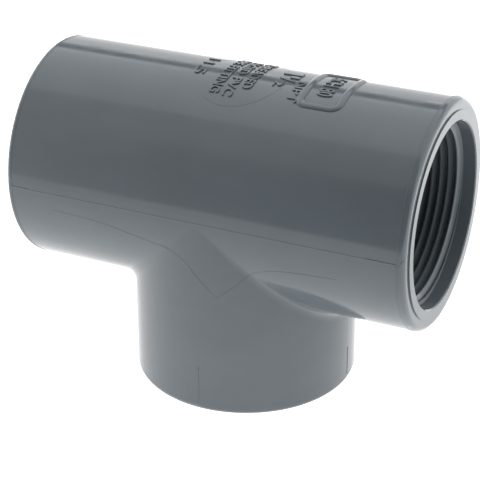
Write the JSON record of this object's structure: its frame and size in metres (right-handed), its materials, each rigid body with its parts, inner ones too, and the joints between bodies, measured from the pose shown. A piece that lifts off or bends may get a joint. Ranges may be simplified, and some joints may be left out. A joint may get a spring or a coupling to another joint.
{
  "type": "pipe tee fitting",
  "caption": "Heavy-wall PVC pipe tee with a female tapered pipe thread in each end of its straight run and in its side branch.",
  "frame": {"origin": "where the axis of the run and the axis of the branch cross", "axes": "+X along the run towards its right end, -Z along the branch, +Y to the back; the mould parts on Z = 0"},
  "size_m": [0.1112, 0.0604, 0.0858],
  "materials": {
    "pvc": "moulded satin, semi-gloss"
  },
  "bodies": {
    "root": {"tee_body": "pvc"}
  },
  "joints": []
}
